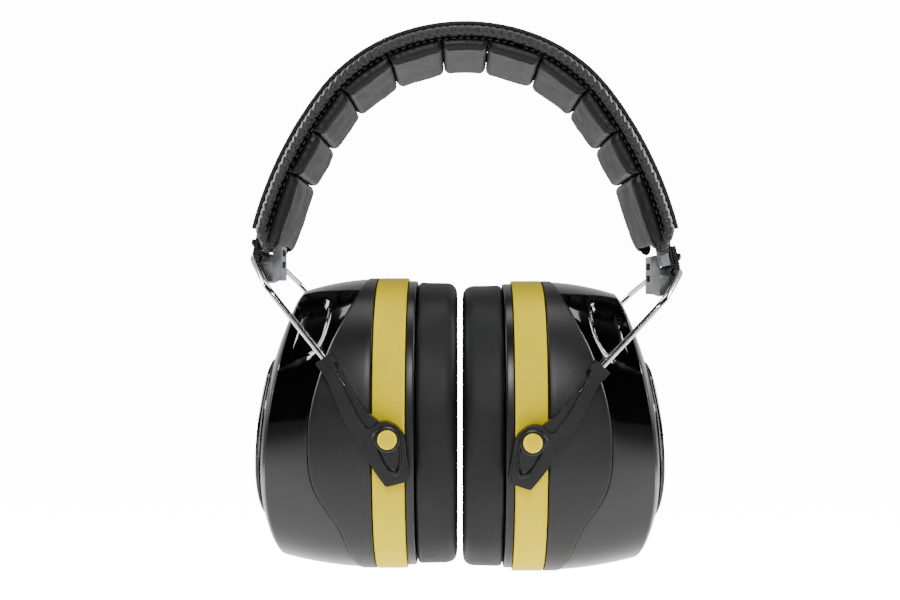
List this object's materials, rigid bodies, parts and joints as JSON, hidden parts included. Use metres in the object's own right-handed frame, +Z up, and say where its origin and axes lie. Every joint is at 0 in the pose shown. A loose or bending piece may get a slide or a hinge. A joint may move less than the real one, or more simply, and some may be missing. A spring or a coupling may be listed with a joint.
{
  "type": "earmuff hearing protector",
  "caption": "Over-the-head earmuff: sprung padded band, sliding and folding wire yokes, and two tilting sound-damping ear cups that close face to face.",
  "frame": {"origin": "middle of the flat underside of the headband's crown pad, where the band rests on a head", "axes": "+Z up out of the crown, +X to the object's right-hand cup, +Y to the rear of the band"},
  "size_m": [0.1696, 0.1062, 0.2164],
  "materials": {
    "cover_leather": "matte",
    "pad_skin": "satin",
    "cushion_skin": "satin",
    "seam_thread": "matte",
    "spring_steel": "satin",
    "yoke_steel": "polished",
    "rivet_steel": "satin",
    "satin_black_plastic": "satin",
    "gloss_black_plastic": "gloss",
    "grained_black_plastic": "matte",
    "yellow_plastic": "satin",
    "grey_plastic": "satin",
    "liner_foam": "matte",
    "gauze_fabric": "matte"
  },
  "bodies": {
    "headband": {"head_cover": "cover_leather", "spring_band": "spring_steel", "seam_front": "seam_thread", "seam_rear": "seam_thread", "pad_cell_06": "pad_skin"},
    "band_shoulder_left": {"pad_cell_05": "pad_skin"},
    "band_end_left": {"pad_cell_01": "pad_skin", "pad_cell_02": "pad_skin", "pad_cell_03": "pad_skin", "pad_cell_04": "pad_skin", "slider_guide_left": "satin_black_plastic"},
    "slider_left": {"slider_strip_left": "satin_black_plastic", "slider_tongue_left": "satin_black_plastic", "height_clip_left": "grey_plastic", "clip_rivet_front_left": "rivet_steel", "clip_rivet_rear_left": "rivet_steel"},
    "yoke_left": {"yoke_wire_left": "yoke_steel", "yoke_arm_front_left": "satin_black_plastic", "yoke_arm_rear_left": "satin_black_plastic"},
    "ear_cup_left": {"cup_ring_left": "yellow_plastic", "rim_plate_left": "satin_black_plastic", "cushion_plate_left": "satin_black_plastic", "ear_cushion_left": "cushion_skin", "side_shell_left": "grained_black_plastic", "outer_shell_left": "gloss_black_plastic", "badge_plate_left": "gloss_black_plastic", "inner_cup_left": "satin_black_plastic", "foam_liner_left": "liner_foam", "ear_gauze_left": "gauze_fabric", "pivot_pin_front_left": "yellow_plastic", "pivot_pin_rear_left": "yellow_plastic"},
    "band_shoulder_right": {"pad_cell_07": "pad_skin"},
    "band_end_right": {"pad_cell_08": "pad_skin", "pad_cell_09": "pad_skin", "pad_cell_10": "pad_skin", "pad_cell_11": "pad_skin", "slider_guide_right": "satin_black_plastic"},
    "slider_right": {"slider_strip_right": "satin_black_plastic", "slider_tongue_right": "satin_black_plastic", "height_clip_right": "grey_plastic", "clip_rivet_front_right": "rivet_steel", "clip_rivet_rear_right": "rivet_steel"},
    "yoke_right": {"yoke_wire_right": "yoke_steel", "yoke_arm_front_right": "satin_black_plastic", "yoke_arm_rear_right": "satin_black_plastic"},
    "ear_cup_right": {"cup_ring_right": "yellow_plastic", "rim_plate_right": "satin_black_plastic", "cushion_plate_right": "satin_black_plastic", "ear_cushion_right": "cushion_skin", "side_shell_right": "grained_black_plastic", "outer_shell_right": "gloss_black_plastic", "badge_plate_right": "gloss_black_plastic", "inner_cup_right": "satin_black_plastic", "foam_liner_right": "liner_foam", "ear_gauze_right": "gauze_fabric", "pivot_pin_front_right": "yellow_plastic", "pivot_pin_rear_right": "yellow_plastic"}
  },
  "joints": [
    {"name": "spread_left", "type": "hinge", "parent": "headband", "child": "band_shoulder_left", "pos_m": [-0.00948, 0, 0.00704], "axis": [0, 1, 0], "range_deg": [0, 14], "stiffness_Nm_per_rad": 8, "deforming": ["head_cover", "spring_band", "seam_front", "seam_rear"]},
    {"name": "flex_left", "type": "hinge", "parent": "band_shoulder_left", "child": "band_end_left", "pos_m": [-0.0313, 0, 0.0006], "axis": [0, 1, 0], "range_deg": [0, 14], "stiffness_Nm_per_rad": 8},
    {"name": "height_left", "type": "slide", "parent": "band_end_left", "child": "slider_left", "axis": [-0.1809, 0, -0.9835], "range_m": [0, 0.0224], "deforming": ["slider_strip_left"]},
    {"name": "fold_left", "type": "hinge", "parent": "slider_left", "child": "yoke_left", "pos_m": [-0.08143, 0, -0.08], "axis": [0, 1, 0], "range_deg": [0, 50]},
    {"name": "tilt_left", "type": "hinge", "parent": "yoke_left", "child": "ear_cup_left", "pos_m": [-0.0283, 0, -0.1466], "axis": [0, -1, 0], "range_deg": [0, 28]},
    {"name": "spread_right", "type": "hinge", "parent": "headband", "child": "band_shoulder_right", "pos_m": [0.00948, 0, 0.00704], "axis": [0, -1, 0], "range_deg": [0, 14], "stiffness_Nm_per_rad": 8},
    {"name": "flex_right", "type": "hinge", "parent": "band_shoulder_right", "child": "band_end_right", "pos_m": [0.0313, 0, 0.0006], "axis": [0, -1, 0], "range_deg": [0, 14], "stiffness_Nm_per_rad": 8},
    {"name": "height_right", "type": "slide", "parent": "band_end_right", "child": "slider_right", "axis": [0.1809, 0, -0.9835], "range_m": [-0.0056, 0.0168], "deforming": ["slider_strip_right"]},
    {"name": "fold_right", "type": "hinge", "parent": "slider_right", "child": "yoke_right", "pos_m": [0.08245, 0, -0.08551], "axis": [0, -1, 0], "range_deg": [0, 50]},
    {"name": "tilt_right", "type": "hinge", "parent": "yoke_right", "child": "ear_cup_right", "pos_m": [0.0243, 0, -0.14778], "axis": [0, 1, 0], "range_deg": [0, 28]}
  ],
  "couplings": [
    {"joint": "spread_right", "follows": "spread_left", "ratio": 1},
    {"joint": "flex_left", "follows": "spread_left", "ratio": 1},
    {"joint": "flex_right", "follows": "spread_left", "ratio": 1},
    {"joint": "tilt_left", "follows": "spread_left", "ratio": 2},
    {"joint": "tilt_right", "follows": "spread_left", "ratio": 2}
  ]
}
